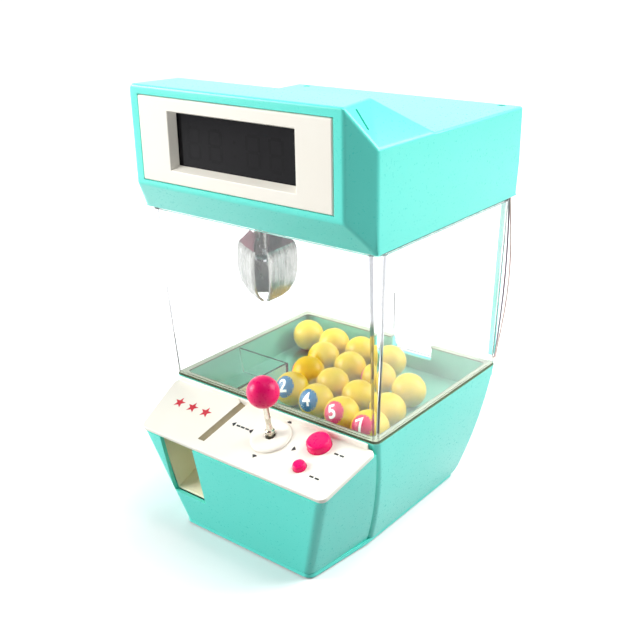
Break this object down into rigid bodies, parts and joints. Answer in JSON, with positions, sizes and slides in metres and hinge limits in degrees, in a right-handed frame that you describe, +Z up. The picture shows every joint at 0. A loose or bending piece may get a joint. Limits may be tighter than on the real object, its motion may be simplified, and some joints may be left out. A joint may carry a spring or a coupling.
{
  "type": "desktop claw crane machine",
  "caption": "Desktop claw crane game with a clock display head, clear case, three-finger claw on a gantry, prize balls, joystick and buttons.",
  "frame": {"origin": "middle of the bounding box's footprint, on the surface the machine stands on", "axes": "+X to the right seen from the front, the front with the controls faces -Y, +Z up"},
  "size_m": [0.143, 0.15, 0.2299],
  "materials": {
    "turquoise_plastic": "smooth moulded",
    "cream_plastic": "smooth moulded",
    "pink_plastic": "polished",
    "clear_plastic": "polished clear",
    "yellow_plastic": "moulded",
    "chrome_plating": "polished plating",
    "steel": "satin",
    "white_nylon": "matte",
    "black_plastic": "satin",
    "display_glass": "gloss",
    "circuit_board": "solder mask",
    "battery_cell": "printed sleeve",
    "wire_insulation": "matte",
    "cord_fibre": "braided"
  },
  "bodies": {
    "machine": {"head_shell": "turquoise_plastic", "lcd_bezel": "cream_plastic", "lcd_panel": "display_glass", "main_board": "circuit_board", "head_deck": "turquoise_plastic", "depth_rail_left": "steel", "depth_rail_right": "steel", "clear_case": "clear_plastic", "wire_channel": "turquoise_plastic", "wire_loom": "wire_insulation", "rear_body": "turquoise_plastic", "prize_tray": "turquoise_plastic", "prize_chute": "cream_plastic", "chute_guard": "clear_plastic", "control_housing": "turquoise_plastic", "control_panel": "cream_plastic", "joystick_disc": "cream_plastic", "control_board": "circuit_board", "base_plate": "turquoise_plastic", "battery_1": "battery_cell", "battery_2": "battery_cell", "battery_3": "battery_cell", "speaker": "black_plastic", "prize_ball_01": "yellow_plastic", "prize_ball_02": "yellow_plastic", "prize_ball_03": "yellow_plastic", "prize_ball_04": "yellow_plastic", "prize_ball_05": "yellow_plastic", "prize_ball_06": "yellow_plastic", "prize_ball_07": "yellow_plastic", "prize_ball_08": "yellow_plastic", "prize_ball_09": "yellow_plastic", "prize_ball_10": "yellow_plastic", "prize_ball_11": "yellow_plastic", "prize_ball_12": "yellow_plastic", "prize_ball_13": "yellow_plastic", "prize_ball_14": "yellow_plastic", "prize_ball_15": "yellow_plastic", "prize_ball_16": "yellow_plastic"},
    "bridge": {"bridge": "white_nylon", "bridge_motor": "steel"},
    "trolley": {"trolley": "pink_plastic", "trolley_motor": "steel", "winch_motor": "steel", "hoist_cord": "cord_fibre"},
    "winch": {"winch_drum": "white_nylon"},
    "claw": {"claw_hub": "chrome_plating"},
    "plunger": {"claw_plunger": "steel"},
    "finger_1": {"claw_finger_1": "chrome_plating"},
    "finger_2": {"claw_finger_2": "chrome_plating"},
    "finger_3": {"claw_finger_3": "chrome_plating"},
    "gimbal": {"joystick_gimbal": "white_nylon"},
    "lever": {"joystick_lever": "steel", "joystick_knob": "pink_plastic"},
    "down_button": {"down_button": "pink_plastic"},
    "mode_button": {"mode_button": "pink_plastic"},
    "hatch": {"rear_hatch": "clear_plastic"},
    "battery_door": {"battery_door": "turquoise_plastic"},
    "power_switch": {"power_switch": "black_plastic"}
  },
  "joints": [
    {"name": "bridge_slide", "type": "slide", "parent": "machine", "child": "bridge", "axis": [0, 1, 0], "range_m": [0, 0.044]},
    {"name": "trolley_slide", "type": "slide", "parent": "bridge", "child": "trolley", "axis": [1, 0, 0], "range_m": [-0.014, 0.058]},
    {"name": "hoist_slide", "type": "slide", "parent": "trolley", "child": "claw", "axis": [0, 0, 1], "range_m": [-0.04, 0], "deforming": ["hoist_cord"]},
    {"name": "winch_spin", "type": "hinge", "parent": "trolley", "child": "winch", "pos_m": [-0.0186, -0.0164, 0.195], "axis": [0, 1, 0], "range_deg": [-426, 0]},
    {"name": "finger_1_hinge", "type": "hinge", "parent": "claw", "child": "finger_1", "pos_m": [-0.01761, -0.01173, 0.1486], "axis": [0.0419, -0.9991, 0], "range_deg": [0, 30]},
    {"name": "finger_2_hinge", "type": "hinge", "parent": "claw", "child": "finger_2", "pos_m": [-0.02743, -0.0066, 0.1486], "axis": [0.8443, 0.5358, 0], "range_deg": [0, 30]},
    {"name": "finger_3_hinge", "type": "hinge", "parent": "claw", "child": "finger_3", "pos_m": [-0.02696, -0.01767, 0.1486], "axis": [-0.8862, 0.4633, 0], "range_deg": [0, 30]},
    {"name": "plunger_slide", "type": "slide", "parent": "claw", "child": "plunger", "axis": [0, 0, 1], "range_m": [-0.004, 0]},
    {"name": "joystick_tilt_x", "type": "hinge", "parent": "machine", "child": "gimbal", "pos_m": [0.0123, -0.05461, 0.06549], "axis": [1, 0, 0], "range_deg": [-10, 10], "stiffness_Nm_per_rad": 0.06},
    {"name": "joystick_tilt_y", "type": "hinge", "parent": "gimbal", "child": "lever", "pos_m": [0.0123, -0.05461, 0.06549], "axis": [0, 0.9863, 0.165], "range_deg": [-10, 10], "stiffness_Nm_per_rad": 0.06},
    {"name": "down_press", "type": "slide", "parent": "machine", "child": "down_button", "axis": [0, 0.3648, -0.9311], "range_m": [0, 0.0015], "stiffness_N_per_m": 200, "springref_m": -0.0005},
    {"name": "mode_press", "type": "slide", "parent": "machine", "child": "mode_button", "axis": [0, 0.3648, -0.9311], "range_m": [0, 0.001], "stiffness_N_per_m": 200, "springref_m": -0.0005},
    {"name": "hatch_hinge", "type": "hinge", "parent": "machine", "child": "hatch", "pos_m": [0.013, 0.0725, 0.0666], "axis": [-1, 0, 0], "range_deg": [0, 95]},
    {"name": "battery_door_hinge", "type": "hinge", "parent": "machine", "child": "battery_door", "pos_m": [0, 0.06538, 0.0077], "axis": [-1, 0, 0], "range_deg": [0, 75]},
    {"name": "power_slide", "type": "slide", "parent": "machine", "child": "power_switch", "axis": [1, 0, 0], "range_m": [0, 0.004]}
  ],
  "couplings": [
    {"joint": "winch_spin", "follows": "hoist_slide", "rad_per_m": 185.2},
    {"joint": "finger_1_hinge", "follows": "plunger_slide", "rad_per_m": -130.9},
    {"joint": "finger_2_hinge", "follows": "plunger_slide", "rad_per_m": -130.9},
    {"joint": "finger_3_hinge", "follows": "plunger_slide", "rad_per_m": -130.9}
  ]
}
